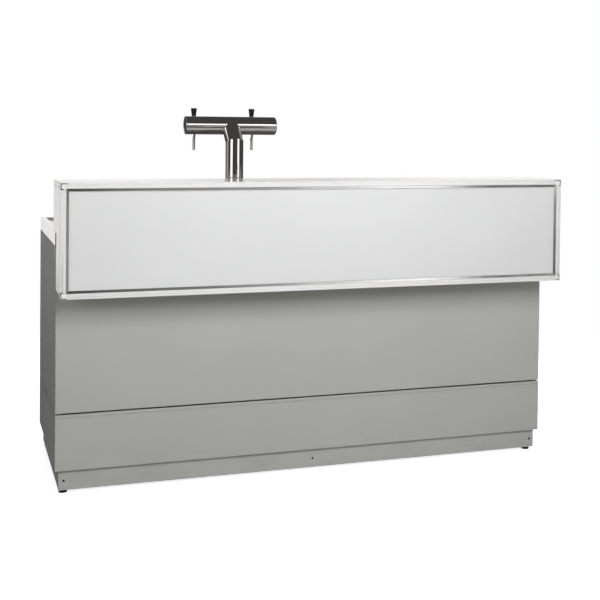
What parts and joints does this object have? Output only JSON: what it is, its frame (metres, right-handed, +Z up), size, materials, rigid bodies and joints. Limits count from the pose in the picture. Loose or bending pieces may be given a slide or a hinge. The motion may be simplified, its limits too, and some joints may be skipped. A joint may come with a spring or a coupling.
{
  "type": "beer dispensing counter",
  "caption": "Free-standing bar counter with a grey panelled cabinet, white illuminated bar front and a polished T-shaped tap tower over a drip tray on the service side.",
  "frame": {"origin": "on the floor, at the centre of the counter's outline", "axes": "+Z up, +X along the counter to the right as a guest sees it, -Y towards the guest, +Y towards the barkeeper"},
  "size_m": [2, 0.855, 1.4334],
  "materials": {
    "grey_coat": "satin powder coat",
    "grey_board": "satin laminate on board",
    "white_board": "glossy laminate on board",
    "inner_board": "matt laminate on board",
    "core_board": "plywood",
    "white_profile": "white coat",
    "white_plastic": "moulded",
    "lit_panel": "opal sheet",
    "polished_bead": "polished",
    "worktop_steel": "satin",
    "polished_steel": "mirror polish",
    "plain_steel": "plain",
    "frame_metal": "mill",
    "black_screw": "black",
    "black_plastic": "moulded",
    "black_knob": "gloss",
    "line_tube": "translucent tube"
  },
  "bodies": {
    "counter": {"plinth_front": "grey_coat", "plinth_sides": "grey_coat", "plinth_rear": "grey_coat", "plinth_screws": "black_screw", "foot_sockets": "frame_metal", "floor_deck": "grey_coat", "frame_bars": "frame_metal", "front_panel_upper": "grey_coat", "front_panel_lower": "grey_coat", "left_panel_upper": "grey_coat", "left_panel_lower": "grey_coat", "right_panel_upper": "grey_coat", "right_panel_lower": "grey_coat", "partitions": "inner_board", "bay_shelf": "inner_board", "shelf_cleats": "frame_metal", "worktop_core": "core_board", "worktop": "worktop_steel", "drip_tray": "worktop_steel", "bar_top": "white_board", "bar_rear_panel": "grey_board", "bar_ends": "white_board", "bar_underside": "white_profile", "panel_frame_rails": "white_profile", "panel_frame_sides": "white_profile", "frame_corners": "white_plastic", "panel_trim": "polished_bead", "display_panel": "lit_panel", "light_battens": "white_plastic", "bar_brackets": "frame_metal", "tower_flange": "polished_steel", "tower_bolts": "plain_steel", "tower_column": "polished_steel", "tower_neck": "polished_steel", "tower_crossbar": "polished_steel", "tower_end_caps": "polished_steel", "tap_shanks": "polished_steel", "tap_bodies": "polished_steel", "tap_spouts": "plain_steel", "beer_lines": "line_tube", "line_couplings": "plain_steel", "door_hinges": "plain_steel", "switch_housing": "black_plastic", "cable_gland": "black_plastic"},
    "foot_fl": {"foot_front_left": "black_plastic"},
    "foot_fr": {"foot_front_right": "black_plastic"},
    "foot_rl": {"foot_rear_left": "black_plastic"},
    "foot_rr": {"foot_rear_right": "black_plastic"},
    "grate": {"drip_grate": "worktop_steel"},
    "lever_left": {"tap_lever_left": "plain_steel", "tap_knob_left": "black_knob"},
    "lever_right": {"tap_lever_right": "plain_steel", "tap_knob_right": "black_knob"},
    "piston_left": {"tap_piston_left": "white_plastic"},
    "piston_right": {"tap_piston_right": "white_plastic"},
    "door_l": {"door_left": "grey_board", "door_handle_left": "plain_steel"},
    "door_r": {"door_right": "grey_board", "door_handle_right": "plain_steel"},
    "rocker": {"light_rocker": "black_knob"}
  },
  "joints": [
    {"name": "foot_fl_screw", "type": "slide", "parent": "counter", "child": "foot_fl", "axis": [0, 0, -1], "range_m": [0, 0.02]},
    {"name": "foot_fr_screw", "type": "slide", "parent": "counter", "child": "foot_fr", "axis": [0, 0, -1], "range_m": [0, 0.02]},
    {"name": "foot_rl_screw", "type": "slide", "parent": "counter", "child": "foot_rl", "axis": [0, 0, -1], "range_m": [0, 0.02]},
    {"name": "foot_rr_screw", "type": "slide", "parent": "counter", "child": "foot_rr", "axis": [0, 0, -1], "range_m": [0, 0.02]},
    {"name": "grate_lift", "type": "slide", "parent": "counter", "child": "grate", "axis": [0, 0, 1], "range_m": [0, 0.08]},
    {"name": "tap_left", "type": "hinge", "parent": "counter", "child": "lever_left", "pos_m": [-0.412, 0.0935, 1.378], "axis": [-1, 0, 0], "range_deg": [0, 35]},
    {"name": "tap_right", "type": "hinge", "parent": "counter", "child": "lever_right", "pos_m": [-0.166, 0.0935, 1.378], "axis": [-1, 0, 0], "range_deg": [0, 35]},
    {"name": "piston_left_slide", "type": "slide", "parent": "counter", "child": "piston_left", "axis": [0, -1, 0], "range_m": [0, 0.0095]},
    {"name": "piston_right_slide", "type": "slide", "parent": "counter", "child": "piston_right", "axis": [0, -1, 0], "range_m": [0, 0.0095]},
    {"name": "door_left_hinge", "type": "hinge", "parent": "counter", "child": "door_l", "pos_m": [-0.96, 0.3835, 0.5], "axis": [0, 0, 1], "range_deg": [0, 100]},
    {"name": "door_right_hinge", "type": "hinge", "parent": "counter", "child": "door_r", "pos_m": [0.96, 0.3835, 0.5], "axis": [0, 0, -1], "range_deg": [0, 100]},
    {"name": "light_switch", "type": "hinge", "parent": "counter", "child": "rocker", "pos_m": [0.6, -0.1775, 1.06], "axis": [1, 0, 0], "range_deg": [0, 18]}
  ],
  "couplings": [
    {"joint": "piston_left_slide", "follows": "tap_left", "m_per_rad": 0.015},
    {"joint": "piston_right_slide", "follows": "tap_right", "m_per_rad": 0.015}
  ]
}
